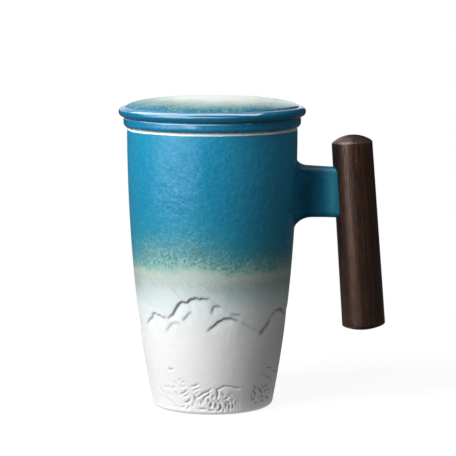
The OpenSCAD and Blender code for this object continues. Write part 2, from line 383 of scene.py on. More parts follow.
def wave_relief(turn, height):
    """Depth of the wave strokes at a place on the wall: one group, then the same again all around."""
    along = around_from(turn, wave_r, 0)
    along = along + stroke_waver * np.sin(waver_along[0] * turn + waver_along[1] * height)
    level = height + stroke_waver * np.sin(waver_up[0] * turn + waver_up[1] * height)
    one = np.zeros_like(height)
    for line, cut in STROKES:
        away, from_end, _ = line_place(along, level, line)
        share = tip_share + (1 - tip_share) * smooth(from_end / tip_l)
        one = np.maximum(one, cut * np.exp(-((away / stroke_w) ** 2)) * share)
    columns = np.shape(turn)[1]
    depth = np.max([np.roll(one, round(columns * start / 360), axis=1) for start in wave_turns], axis=0)
    return depth * smooth((height - wave_start) / wave_run_in)


def mug_relief(turn, rows):
    """How far the mug's outer wall moves for its carving, how much of a hill's white it has, and how much
    grey painted shade lies in its carving, partly for glaze pooled there."""
    shift, white, carved_shade = np.zeros((3, len(rows), len(turn)))
    on_wall = 0.05
    wall = np.abs(rows[:, 0] - mug_radius(rows[:, 1])) < on_wall
    height = np.repeat(rows[wall, 1:], len(turn), axis=1)
    turns = np.repeat(turn[None, :], len(height), axis=0)
    hills, white[wall], ridge_shade = hill_relief(turns, height)
    low = rows[wall, 1] < wave_top
    waves = np.zeros_like(height)
    waves[low] = wave_relief(turns[low], height[low])
    shift[wall] = -wave_depth * waves - hills
    carved_shade[wall] = np.maximum(ridge_shade, wave_shade * waves**2)
    return shift, white, carved_shade


def mug_outline():
    """Section of the mug from the middle of its foot to the middle of its floor, and the rows where
    the bare foot ring ends and where the inside starts."""
    foot_edge = mug_radius(foot_round) - foot_round
    ring_edge = foot_edge - foot_ring_w
    z_low = mug_floor + floor_round
    z_high = mug_h - lip_round
    blue_rows = 36
    inner_rows = 24
    under = [(r, foot_hollow) for r in (0, 8, 16, ring_edge - 2 * foot_hollow)]
    under += [(ring_edge - foot_hollow, foot_hollow * 0.8), (ring_edge, 0.05)]
    under += [(ring_edge + foot_soft, 0), (foot_edge - foot_soft, 0)]
    foot = arc(foot_edge, foot_round, foot_round, -90, 0, 8)
    heights = np.concatenate([
        np.arange(foot_round + carve_step, wave_top, carve_step),
        np.arange(wave_top, ridge_low, plain_step),
        np.arange(ridge_low, ridge_high, carve_step),
        np.linspace(ridge_high, z_high, blue_rows)[:-1]])
    wall = [(mug_radius(z), z) for z in heights]
    lip = arc(mug_radius(z_high) - lip_round, z_high, lip_round, 0, 90, 6)
    lip += arc(mug_radius(z_high) - mug_wall + lip_round, z_high, lip_round, 90, 180, 6)
    inner = [(mug_radius(z) - mug_wall, z) for z in np.linspace(z_high, z_low, inner_rows)[1:-1]]
    corner = arc(mug_radius(z_low) - mug_wall - floor_round, z_low, floor_round, 0, -90, 10)
    floor = [(r, mug_floor) for r in (14, 7, 0)]
    outline = under + foot + wall + lip + inner + corner + floor
    bare_foot_rows = 2
    glazed_lip_rows = 9
    foot_end = len(under) + bare_foot_rows
    return outline, foot_end, len(under) + len(foot) + len(wall) + glazed_lip_rows


def make_mug():
    """The mug: a turned form with carved hills and waves, a bare foot and a white inside."""
    outline, foot_end, inside_start = mug_outline()
    shift, white, carved_shade = mug_relief(turns_of(mug_columns), np.array(outline[1:-1]))
    points, faces, row = lathe(outline, mug_columns, shift)
    zone = np.where(row < foot_end, 1, np.where(row >= inside_start, 2, 0))
    piece = make_piece("mug_glazed", points, faces, "mug", "mug_body",
                       [mug_glaze(), bare_clay(), white_glaze()], zone)
    # The hills' white and the carving's painted shade go with the mesh as layers
    for name, values in (("hill", white), ("carved_shade", carved_shade)):
        layer = piece.data.attributes.new(name, "FLOAT", "POINT")
        layer.data.foreach_set("value", np.append(values.ravel(), (0, 0)).astype(np.float32))


def fillet(d, length):
    """Share of a round fillet that is left at distance d from the wall."""
    t = max(0, 1 - max(0, d) / length)
    return 1 - math.sqrt(1 - (fillet_reach * t) ** 2)


def lug_ring(d):
    """Section of the lug at distance d from the wall, as (across, up)."""
    flare = end_flare[0] * max(0, 1 - max(0, lug_l - d) / end_flare[1]) ** 2
    fall = max(0, lug_l - d) * math.tan(handle_lean)
    top = lug_h / 2 + fall + fillet_top[0] * fillet(d, fillet_top[1])
    under = lug_h / 2 + fillet_under[0] * fillet(d, fillet_under[1])
    half = lug_t / 2 + fillet_side[0] * fillet(d, fillet_side[1]) + flare
    corners = ((half - lug_edge, top - lug_edge), (lug_edge - half, top - lug_edge),
               (lug_edge - half, lug_edge - under), (half - lug_edge, lug_edge - under))
    ring = []
    for quarter, (x, y) in enumerate(corners):
        ring += arc(x, y, lug_edge, 90 * quarter, 90 * (quarter + 1), lug_corner_steps)
    return ring


def make_lug():
    """The lug: its root follows the mug's round wall, and its end runs into the wood."""
    wall_x = mug_radius(lug_z)
    reach = lug_l + lug_into_wood
    stations = np.concatenate([[-lug_sink], reach * np.linspace(0, 1, lug_sections) ** lug_crowding])
    rings = []
    for d in stations:
        ring = np.array(lug_ring(d))
        round_wall = np.sqrt(mug_radius(lug_z + ring[:, 1]) ** 2 - ring[:, 0] ** 2)
        share = smooth(1 - max(0, d) / lug_bend)
        x = d + wall_x + (round_wall - wall_x) * share
        rings.append(np.column_stack([x, ring[:, 0], lug_z + ring[:, 1]]))
    count = len(rings[0])
    faces = quads(len(rings), count, True)
    faces.append(tuple(range(count - 1, -1, -1)))
    faces.append(tuple((len(rings) - 1) * count + j for j in range(count)))
    make_piece("lug_glazed", np.concatenate(rings), faces, "mug", "handle_lug", [shaded_lug_glaze()])


def rounded_dome(edge_r, edge_z, rise, side):
    """Half a domed end of the handle, from its side to its tip, with its edge rounded off."""
    big_r = (edge_r**2 + rise**2) / (2 * rise)
    half = math.degrees(math.asin(edge_r / big_r))
    tips = [(x, edge_z + side * (y - big_r + rise)) for x, y in arc(0, 0, big_r, 90 - half, 90, 14)]
    guides = ((edge_r, edge_z - side * handle_edge), tips[0], tips[2])
    bend = []
    for t in np.linspace(0, 1, 7):
        pulls = ((1 - t) ** 2, 2 * t * (1 - t), t * t)
        bend.append(tuple(sum(pull * guide[i] for pull, guide in zip(pulls, guides)) for i in (0, 1)))
    return bend + tips[3:]


def handle_radius(z):
    """Radius of the handle at height z above the middle of the lug, along the handle."""
    return handle_foot_r + (handle_top_r - handle_foot_r) * (z + handle_l - handle_up) / handle_l


def handle_place():
    """Where the handle's own frame is, with its axis upright before it leans."""
    handle_x = mug_radius(lug_z) + lug_l + handle_radius(0)
    return Matrix.Translation((handle_x, 0, lug_z)) @ Matrix.Rotation(-handle_lean, 4, "Y")


def make_handle():
    """The turned handle, set in its place with its lean."""
    low = handle_up - handle_l
    end_clear = 2
    side_rows = 30
    foot = rounded_dome(handle_foot_r, low, handle_foot_dome, -1)[::-1]
    top = rounded_dome(handle_top_r, handle_up, handle_dome, 1)
    side = [(handle_radius(z), z) for z in np.linspace(low + end_clear, handle_up - end_clear, side_rows)]
    outline = foot + side + top
    outline[0] = (0, outline[0][1])
    outline[-1] = (0, outline[-1][1])
    points, faces, _ = lathe(outline, handle_columns)
    place = handle_place()
    points = [place @ Vector(p) for p in points]
    make_piece("handle_turned", points, faces, "mug", "wood_handle", [dark_wood()])


def lid_outline():
    """Section of the lid from the top of its dome round to the middle of its underside, and the row
    where the underside starts."""
    roll_x = lid_r - roll_r
    roll_z = seat_z + roll_r
    angle = math.radians(crease_angle)
    crease_x = roll_x + roll_r * math.cos(angle)
    crease_z = roll_z + roll_r * math.sin(angle)
    rise = lid_top - crease_z
    ring_r = neck_bore_r - ring_gap
    bore_r = ring_r - ring_wall
    ring_z = seat_z - ring_h + ring_round
    bore_angle = math.acos(bore_r / crease_x)
    dome_rows = 60
    under_rows = 24
    dome_angles = np.linspace(math.pi / 2, 0, dome_rows)[1:-1]
    dome = [(0, lid_top)] + [(crease_x * math.cos(a), crease_z + rise * math.sin(a)) for a in dome_angles]
    roll = arc(roll_x, roll_z, roll_r, crease_angle, -90, 40)
    ring = [(roll_x - seat_w, seat_z), (ring_r + ring_root, seat_z), (ring_r, seat_z - ring_root)]
    ring += arc(ring_r - ring_round, ring_z, ring_round, 0, -90, 6)
    ring += arc(bore_r + ring_round, ring_z, ring_round, -90, -180, 6)
    under_z = crease_z - dome_wall
    under_angles = np.linspace(bore_angle, math.pi / 2, under_rows)[:-1]
    under = [(crease_x * math.cos(a), under_z + rise * math.sin(a)) for a in under_angles]
    under += [(0, under_z + rise)]
    return dome + roll + ring + under, len(dome) + len(roll) - 1


def make_lid():
    """The lid: a turned dome with a rolled edge, and white underneath."""
    outline, under_start = lid_outline()
    points, faces, row = lathe(outline[::-1], lid_columns)
    last = len(outline) - 2
    zone = np.where(last - row >= under_start, 1, 0)
    make_piece("lid_glazed", points, faces, "lid", "lid", [lid_glaze(), white_glaze()], zone)


# Materials. Colours are written as linear red, green and blue.
WHITE = (0.84, 0.85, 0.84)
CREAM = (0.84, 0.82, 0.78)
ROLL_BLUE = (0.0065, 0.165, 0.31)
COLLAR_BLUE = (0.005, 0.215, 0.40)
COLLAR_DARK = tuple(0.85 * c for c in COLLAR_BLUE)
PALE_DROPS = (0.46, 0.62, 0.62)
GREEN_GRAINS = (0.05, 0.22, 0.195)
# Teal painted shade on the mug's side away from the light
SHADE_SIDE_TEAL = (0.09, 0.26, 0.25)
TAN_GRAINS = (0.40, 0.37, 0.29)
# Grey painted shade in the carving's lines and strokes, partly standing for pooled glaze
CARVED_SHADE_GREY = (0.16, 0.18, 0.19)
PORE_BROWN = (0.012, 0.006, 0.0045)
END_BROWN = (0.006, 0.0027, 0.0018)
WOOD_SHINE = (1.0, 0.68, 0.56)

# Colours up the mug by height, along the lug by distance from the mug's axis, and across the lid by radius.
# Some stops in these lists are painted light and painted shade, as noted at each list.
# The blue lightens from 100 mm up to the rim: painted light from above
MUG_STOPS = [
    (35, WHITE), (46, (0.775, 0.80, 0.80)), (52, (0.705, 0.765, 0.765)), (56, (0.65, 0.72, 0.72)),
    (60, (0.59, 0.67, 0.67)), (63.5, (0.475, 0.56, 0.545)), (66, (0.47, 0.545, 0.51)),
    (68.5, (0.455, 0.545, 0.485)), (70, (0.39, 0.525, 0.455)), (72, (0.26, 0.465, 0.41)),
    (74, (0.19, 0.40, 0.38)), (77, (0.13, 0.335, 0.36)), (80, (0.082, 0.295, 0.35)),
    (84, (0.036, 0.255, 0.345)), (89, (0.011, 0.23, 0.36)), (100, (0.006, 0.212, 0.365)),
    (115, (0.0065, 0.222, 0.39)), (131, (0.008, 0.24, 0.42)),
]
# Along the lug: painted shade in its middle, where the mug shades it from the key light, and painted light at
# its root and at its end by the wood
LUG_SHADE_STOPS = [
    (38, (0.008, 0.19, 0.34)), (39, (0.008, 0.19, 0.34)), (42, (0.006, 0.15, 0.28)),
    (45.5, (0.003, 0.075, 0.145)), (50, (0.0035, 0.09, 0.165)), (54.5, (0.006, 0.15, 0.26)),
    (57.5, (0.013, 0.185, 0.27)), (60, (0.013, 0.185, 0.27)),
]
# Across the lid the crown pales: partly the glaze's own colour, partly a painted sheen of the white backdrop
LID_STOPS = [
    (0, (0.80, 0.80, 0.785)), (18, (0.72, 0.74, 0.715)), (27, (0.46, 0.55, 0.51)),
    (33.5, (0.27, 0.40, 0.38)), (38, (0.14, 0.28, 0.29)), (40.3, (0.03, 0.155, 0.21)), (42, ROLL_BLUE),
]

# Spans of height on the mug over which its glazes, and the teal painted shade on its side away from the
# light, come and go
shade_side_in = (50, 60)
shade_side_out = (61, 66)
sand_in = (59, 63)
sand_out = (66, 70)
grains_in = (59, 67)
edge_in = (67, 70.5)
edge_out = (72.5, 78)
fade_in = (68.5, 73)
fade_out = (77, 92)
drop_in = (62, 76)
satin_in = (56, 74)
dimples_in = (60, 80)
sway_in = (66, 84)
cream_in = (mug_h - 1.15, mug_h - 1.0)

# The blue ends highest at the front left, on the lit side, and this much lower all around from there. The
# side away from the light also takes the sand band and a teal painted shade.
lit_turn = math.radians(-28)
blue_drop = 8
facing_lit = 38
facing_away = 28

# On the lid: how much its pale middle leans to one side, the radii over which that ends, and where its
# glaze has pooled, by radius and, in metres, by the way across
lid_lean = 0.14
lean_out = (30, 39)
roll_pool = (lid_r - 3.2, lid_r - 2.9)
dome_pool = (27, 33)
side_pool = (22 * MM, 36 * MM)

# How much a glaze's roughness follows its skin, and in metres how deep its dimples, the wall's sway and
# the grain of the wood are
skin_roughness = 0.12
pool_roughness = 0.1
dimple_depth = 0.0002
sway_depth = 0.0004
grain_depth = 0.00015

# The wood: how far its streaks and flecks are drawn out, where its pith lies, and its growth rings
streak_draw = 0.07
fleck_draw = 0.22
pith_shift = (0.006, 0.003, 0)
ring_sway = 5
ring_pace = 3.1
end_soft = 0.6


def feed(tree, node, **inputs):
    """Gives a node its inputs, by name or by number. Each is a value or another node's socket."""
    for name, value in inputs.items():
        key = int(name[1:]) if name[0] == "i" and name[1:].isdigit() else name.replace("_", " ")
        if isinstance(value, bpy.types.NodeSocket):
            tree.links.new(value, node.inputs[key])
        else:
            node.inputs[key].default_value = value


def add(tree, kind, settings=None, **inputs):
    """A node with its settings and inputs."""
    made = tree.nodes.new(kind)
    for name, value in (settings or {}).items():
        setattr(made, name, value)
    feed(tree, made, **inputs)
    return made


def maths(tree, operation, a, b=0.0):
    """Result of a sum, product or the like."""
    return add(tree, "ShaderNodeMath", {"operation": operation}, i0=a, i1=b).outputs[0]


def total(tree, first, *others):
    """Sum of values."""
    for other in others:
        first = maths(tree, "ADD", first, other)
    return first


def product(tree, first, *others):
    """Product of values."""
    for other in others:
        first = maths(tree, "MULTIPLY", first, other)
    return first


def blend(tree, share, a, b, mode="MIX"):
    """Colour between a and b, or a with b laid over it in another mode."""
    a, b = [(*c, 1) if isinstance(c, tuple) else c for c in (a, b)]
    settings = {"data_type": "RGBA", "blend_type": mode}
    return add(tree, "ShaderNodeMix", settings, i0=share, i6=a, i7=b).outputs[2]


def spread(tree, value, low, high, to_low=0.0, to_high=1.0):
    """Maps low..high to a new span, held at both ends."""
    return add(tree, "ShaderNodeMapRange", {"clamp": True}, i0=value, i1=low, i2=high, i3=to_low,
               i4=to_high).outputs[0]


def band(tree, value, start, end, peak=1.0, rest=0.0):
    """A mask that rises to its peak over the first span of a value and falls to a share of it over the
    second."""
    return product(tree, spread(tree, value, *start, 0.0, peak), spread(tree, value, *end, 1.0, rest))


def centred(tree, value, width):
    """A 0 to 1 value as a shift of up to half a width either way."""
    return product(tree, maths(tree, "SUBTRACT", value, 0.5), width)


def colours(tree, place, stops):
    """Colour along a list of (place, colour) stops."""
    made = add(tree, "ShaderNodeValToRGB", i0=place)
    ramp = made.color_ramp
    while len(ramp.elements) < len(stops):
        ramp.elements.new(1.0)
    for element, (at, colour) in zip(ramp.elements, stops):
        element.position = at
        element.color = (*colour, 1)
    return made.outputs[0]


def fade_colours(tree, place, stops):
    """Colour along a list of (place in mm, colour) stops, held beyond its ends."""
    low = stops[0][0]
    high = stops[-1][0]
    return colours(tree, spread(tree, place, low, high), [((at - low) / (high - low), c) for at, c in stops])


def noise(tree, vector, scale, detail=2.0, roughness=0.5):
    """Soft noise from 0 to 1, with its scale in features per metre."""
    return add(tree, "ShaderNodeTexNoise", Vector=vector, Scale=scale, Detail=detail,
               Roughness=roughness).outputs[0]


def own_place(tree):
    """The object's own coordinates."""
    return tree.nodes.new("ShaderNodeTexCoord").outputs["Object"]


def part_of(tree, vector, axis):
    """One coordinate of a vector."""
    return add(tree, "ShaderNodeSeparateXYZ", Vector=vector).outputs[axis]


def layer_of(tree, name):
    """Values that a mesh carries at its points."""
    return add(tree, "ShaderNodeAttribute", {"attribute_name": name}).outputs["Fac"]


def new_group(name, inputs, outputs):
    """An empty node group with named sockets, which are numbers apart from one named Vector."""
    group = bpy.data.node_groups.new(name, "ShaderNodeTree")
    for labels, side in ((inputs, "INPUT"), (outputs, "OUTPUT")):
        for label in labels:
            kind = "NodeSocketVector" if label == "Vector" else "NodeSocketFloat"
            group.interface.new_socket(label, in_out=side, socket_type=kind)
    return group, group.nodes.new("NodeGroupInput").outputs, group.nodes.new("NodeGroupOutput").inputs


def speckle_group():
    """Fine speckle, broad clouding and the dimpled skin of a fired glaze, each at its own scale, and a
    roughness that follows the skin."""
    group, given, made = new_group(
        "Glaze speckle", ["Vector", "Grain scale", "Cloud scale", "Skin scale", "Mean roughness"],
        ["Speckle", "Cloud", "Skin", "Roughness"])
    fine = noise(group, given["Vector"], given["Grain scale"], 2, 0.6)
    cloud = noise(group, given["Vector"], given["Cloud scale"], 4, 0.6)
    skin = noise(group, given["Vector"], given["Skin scale"], 2, 0.55)
    skin = spread(group, skin, 0.25, 0.75)
    rough = total(group, centred(group, skin, skin_roughness), given["Mean roughness"])
    group.links.new(spread(group, fine, 0.38, 0.62), made["Speckle"])
    group.links.new(spread(group, cloud, 0.25, 0.75), made["Cloud"])
    group.links.new(skin, made["Skin"])
    group.links.new(rough, made["Roughness"])
    return group


def axis_group():
    """Distance from the axis that a piece was turned on, in millimetres."""
    group, given, made = new_group("Axis distance", ["Vector"], ["Distance"])
    flat = add(group, "ShaderNodeVectorMath", {"operation": "MULTIPLY"}, i0=given["Vector"], i1=(1, 1, 0))
    length = add(group, "ShaderNodeVectorMath", {"operation": "LENGTH"}, i0=flat.outputs[0])
    group.links.new(maths(group, "DIVIDE", length.outputs["Value"], MM), made["Distance"])
    return group


SPECKLE = speckle_group()
AXIS = axis_group()


def fired_glaze(tree, coords, roughness, grain=950, cloud=110, skin=400):
    """Outputs of the speckle group, placed in a material with its own values."""
    return add(tree, "ShaderNodeGroup", {"node_tree": SPECKLE}, Vector=coords, Grain_scale=grain,
               Cloud_scale=cloud, Skin_scale=skin, Mean_roughness=roughness).outputs


def from_axis(tree, coords):
    """Output of the axis group, placed in a material."""
    return add(tree, "ShaderNodeGroup", {"node_tree": AXIS}, Vector=coords).outputs["Distance"]


def new_material(name):
    """A material, its node tree and its surface shader."""
    material = bpy.data.materials.new(name)
    material.use_nodes = True
    return material, material.node_tree, material.node_tree.nodes["Principled BSDF"]


def glaze_surface(tree, shader, fired, colour, dimple, gloss=0.4, under=None):
    """Satin glaze: its colour, its roughness and its dimpled skin, over the wall's own sway if it has one."""
    bump = add(tree, "ShaderNodeBump", Strength=dimple, Distance=dimple_depth, Height=fired["Skin"])
    if under is not None:
        feed(tree, bump, Normal=under)
    feed(tree, shader, Base_Color=colour, Roughness=fired["Roughness"], Specular_IOR_Level=gloss,
         Normal=bump.outputs[0])


def wet_pool(tree, shader, share):
    """A thick, clear and shiny coat where the glaze has pooled."""
    feed(tree, shader, Coat_Weight=share, Coat_Roughness=pool_roughness)


def mug_glaze():
    """Blue glaze that fades through a speckled sand band into white, with white hills and a cream rim. Grey
    painted shade, partly pooled glaze, lies in the carving, a teal painted shade on the side away from the
    light, and the blue's stops hold painted light towards the rim.
    """
    material, tree, shader = new_material("mug glaze")
    coords = own_place(tree)
    height = maths(tree, "DIVIDE", part_of(tree, coords, "Z"), MM)
    fired = fired_glaze(tree, coords, spread(tree, height, *satin_in, 0.6, 0.3), grain=830)
    speckle = fired["Speckle"]
    # Facing measures how far a place lies towards the lit side; away marks the side turned from the light,
    # where the blue comes lower, the sand band shows and a teal painted shade falls
    facing = add(tree, "ShaderNodeVectorMath", {"operation": "DOT_PRODUCT"}, i0=coords,
                 i1=(math.sin(lit_turn), -math.cos(lit_turn), 0)).outputs["Value"]
    away = spread(tree, facing, facing_lit * MM, facing_away * MM)

    drop = product(tree, away, spread(tree, height, *drop_in, 0.1 * blue_drop, blue_drop))
    grains = product(tree, centred(tree, speckle, 6), spread(tree, height, *grains_in, 0.15, 1.0))
    patches = centred(tree, noise(tree, coords, 28, 1, 0.5), 3)
    stray = total(tree, grains, centred(tree, fired["Cloud"], 5), drop, patches)
    level = total(tree, height, stray)

    in_fade = band(tree, level, fade_in, fade_out, rest=0.12)
    body = blend(tree, product(tree, in_fade, 0.8), fade_colours(tree, level, MUG_STOPS),
                 spread(tree, speckle, 0.1, 0.9, 0.62, 1.2), "MULTIPLY")
    drops = product(tree, spread(tree, speckle, 0.6, 0.95, 0.0, 0.3), in_fade)
    body = blend(tree, drops, body, PALE_DROPS)
    green = product(tree, spread(tree, speckle, 0.45, 0.1, 0.0, 0.7), band(tree, level, edge_in, edge_out))
    body = blend(tree, green, body, GREEN_GRAINS)
    # Teal painted shade on the side away from the light
    shade_side = product(tree, band(tree, height, shade_side_in, shade_side_out, peak=0.42, rest=0.2), away)
    body = blend(tree, shade_side, body, SHADE_SIDE_TEAL)
    in_sand = product(tree, band(tree, height, sand_in, sand_out), away)
    tan = product(tree, spread(tree, speckle, 0.45, 0.9, 0.0, 0.5), in_sand)
    body = blend(tree, tan, body, TAN_GRAINS)
    body = blend(tree, spread(tree, layer_of(tree, "hill"), 0.0, 0.8, 0.0, 0.08), body, WHITE)
    # Grey painted shade in the carving's lines and strokes, partly for glaze pooled there
    body = blend(tree, spread(tree, layer_of(tree, "carved_shade"), 0.0, 1.0, 0.0, 0.62), body, CARVED_SHADE_GREY)
    rim_share = spread(tree, total(tree, height, centred(tree, fired["Cloud"], 0.3)), *cream_in)
    body = blend(tree, rim_share, body, CREAM)

    sway = add(tree, "ShaderNodeBump", Strength=spread(tree, height, *sway_in, 0.25, 0.6),
               Distance=sway_depth, Height=noise(tree, coords, 150, 1, 0.5)).outputs[0]
    dimple = spread(tree, height, *dimples_in, 0.4, 0.55)
    glaze_surface(tree, shader, fired, body, dimple, gloss=0.22, under=sway)
    return material


def shaded_lug_glaze():
    """Deep blue glaze of the lug, with painted shade in its middle and painted light at both ends."""
    material, tree, shader = new_material("blue glaze")
    coords = own_place(tree)
    fired = fired_glaze(tree, coords, 0.42, cloud=160)
    along = maths(tree, "DIVIDE", part_of(tree, coords, "X"), MM)
    stray = total(tree, centred(tree, fired["Cloud"], 6), centred(tree, fired["Speckle"], 1.5))
    colour = fade_colours(tree, total(tree, along, stray), LUG_SHADE_STOPS)
    glaze_surface(tree, shader, fired, colour, dimple=0.4, gloss=0.1)
    return material


def white_glaze():
    """Plain white glaze of the insides."""
    name = "white glaze"
    if name in bpy.data.materials:
        return bpy.data.materials[name]
    material, tree, shader = new_material(name)
    fired = fired_glaze(tree, own_place(tree), 0.3)
    colour = colours(tree, fired["Cloud"], [(0.1, (0.80, 0.81, 0.79)), (0.9, WHITE)])
    glaze_surface(tree, shader, fired, colour, dimple=0.2)
    return material


def bare_clay():
    """Unglazed stoneware of the foot ring."""
    material, tree, shader = new_material("bare clay")
    fired = fired_glaze(tree, own_place(tree), 0.85, grain=2200, skin=1800)
    colour = colours(tree, fired["Speckle"], [(0.2, (0.55, 0.50, 0.42)), (0.8, (0.70, 0.66, 0.58))])
    glaze_surface(tree, shader, fired, colour, dimple=0.8, gloss=0.2)
    return material


def lid_glaze():
    """Blue glaze on the rolled edge that pales towards the middle of the dome. The pale middle is partly the
    glaze's own colour and partly a painted sheen of the white backdrop.
    """
    material, tree, shader = new_material("lid glaze")
    coords = own_place(tree)
    fired = fired_glaze(tree, coords, 0.4, cloud=140)
    radius = from_axis(tree, coords)
    across = part_of(tree, coords, "X")
    stray = total(tree, centred(tree, fired["Speckle"], 4.5), centred(tree, fired["Cloud"], 6))
    lean = product(tree, across, -lid_lean / MM, spread(tree, radius, *lean_out, 1, 0))
    colour = fade_colours(tree, total(tree, radius, lean, stray), LID_STOPS)
    glaze_surface(tree, shader, fired, colour, dimple=0.3, gloss=0.02)
    thick = product(tree, spread(tree, across, *side_pool), spread(tree, radius, *dome_pool))
    wet_pool(tree, shader, maths(tree, "MAXIMUM", spread(tree, radius, *roll_pool), thick))
    return material


def strainer_glaze():
    """White glaze with a blue collar."""
    material, tree, shader = new_material("strainer glaze")
    coords = own_place(tree)
    fired = fired_glaze(tree, coords, 0.3, cloud=160)
    place = total(tree, from_axis(tree, coords), centred(tree, fired["Speckle"], 0.6))
    share = spread(tree, place, rim_r - 0.5, rim_r)
    blue = colours(tree, fired["Cloud"], [(0.2, COLLAR_DARK), (0.8, COLLAR_BLUE)])
    glaze_surface(tree, shader, fired, blend(tree, share, WHITE, blue), dimple=0.3, gloss=0.3)
    wet_pool(tree, shader, product(tree, share, 0.7))
    return material


def along_grain(tree, vector, draw):
    """Coordinates drawn out along the handle, so that noise on them lies along it."""
    return add(tree, "ShaderNodeMapping", Vector=vector, Scale=(1.0, 1.0, draw)).outputs[0]


def dark_wood():
    """Oiled dark hardwood with its grain along the handle and its growth rings on the ends."""
    material, tree, shader = new_material("dark wood")
    place = handle_place()
    own = add(tree, "ShaderNodeMapping", {"vector_type": "TEXTURE"}, Vector=own_place(tree),
              Location=place.to_translation() * MM, Rotation=place.to_euler()).outputs[0]
    streaks = noise(tree, along_grain(tree, own, streak_draw), 300, 5, 0.6)
    pores = noise(tree, along_grain(tree, own, streak_draw), 2000, 2, 0.5)
    flecks = noise(tree, along_grain(tree, own, fleck_draw), 750, 3, 0.6)
    shifted = add(tree, "ShaderNodeVectorMath", {"operation": "ADD"}, i0=own, i1=pith_shift).outputs[0]
    ring_place = total(tree, from_axis(tree, shifted), product(tree, streaks, ring_sway))
    rings = spread(tree, maths(tree, "SINE", product(tree, ring_place, ring_pace)), -1, 1)
    tone = total(tree, product(tree, streaks, 0.88), product(tree, rings, 0.12), centred(tree, flecks, 1.1))
    colour = colours(tree, tone, [(0.30, (0.005, 0.0023, 0.0017)), (0.50, (0.016, 0.007, 0.0046)),
                                  (0.72, (0.047, 0.0205, 0.013))])
    pore_share = spread(tree, pores, 0.6, 0.7)
    colour = blend(tree, product(tree, pore_share, 0.7), colour, PORE_BROWN)
    along = part_of(tree, own, "Z")
    end_grain = spread(tree, along, (handle_up - end_soft) * MM, (handle_up + end_soft) * MM)
    colour = blend(tree, product(tree, end_grain, 0.8), colour, END_BROWN)
    polish = spread(tree, total(tree, streaks, flecks), 0.75, 1.25, 0.5, 0.28)
    raised = total(tree, streaks, product(tree, flecks, 0.5))
    grain = maths(tree, "SUBTRACT", raised, product(tree, pore_share, 0.6))
    bump = add(tree, "ShaderNodeBump", Strength=0.8, Distance=grain_depth, Height=grain)
    feed(tree, shader, Base_Color=colour, Roughness=polish, Specular_IOR_Level=0.6,
         Specular_Tint=(*WOOD_SHINE, 1), Normal=bump.outputs[0])
    return material


def cured_glue():
    """Glue in the mortise."""
    material, tree, shader = new_material("cured glue")
    fired = fired_glaze(tree, own_place(tree), 0.5, cloud=300)
    colour = colours(tree, fired["Cloud"], [(0.2, (0.62, 0.55, 0.38)), (0.8, (0.74, 0.68, 0.50))])
    glaze_surface(tree, shader, fired, colour, dimple=0.2)
    return material


def dress_node(node, material):
    """Gives a CAD node that stays its material."""
    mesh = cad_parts[node].data
    mesh.materials.clear()
    mesh.materials.append(material)


# The set, in metres: a floor and a world that look white, cards and cloths that only reflections see,
# lamps and the camera
CARD_WHITE = (0.8, 0.8, 0.8)
CLOTH_DARK = (0.02, 0.02, 0.02)
DRAPE_DARK = (0.03, 0.03, 0.03)
floor_half = 8.0
floor_gap = 0.0002
shadow_fade = (0.12, 0.30)
floor_glow = 0.88
floor_shade = 0.16
floor_bounce = 0.12
hollow_glow = 0.15
foot_glow = 0.36
foot_glow_in = (0.024, 0.029)
foot_glow_out = (0.031, 0.035)
world_light = 0.07
lamp_target = (0, 0, 0.07)
camera_spot = (0.00743, -0.9788, 0.2120)
camera_tilt = 7.41
camera_lens = 163.5
camera_sensor = 36


def grey(value):
    """A neutral colour."""
    return (value, value, value, 1)


def seen_share(tree):
    """1 for what the eye sees, straight or in a reflection or through something clear, and 0 for light."""
    path = tree.nodes.new("ShaderNodeLightPath").outputs
    bent = maths(tree, "MAXIMUM", path["Is Glossy Ray"], path["Is Transmission Ray"])
    return maths(tree, "MAXIMUM", path["Is Camera Ray"], bent)


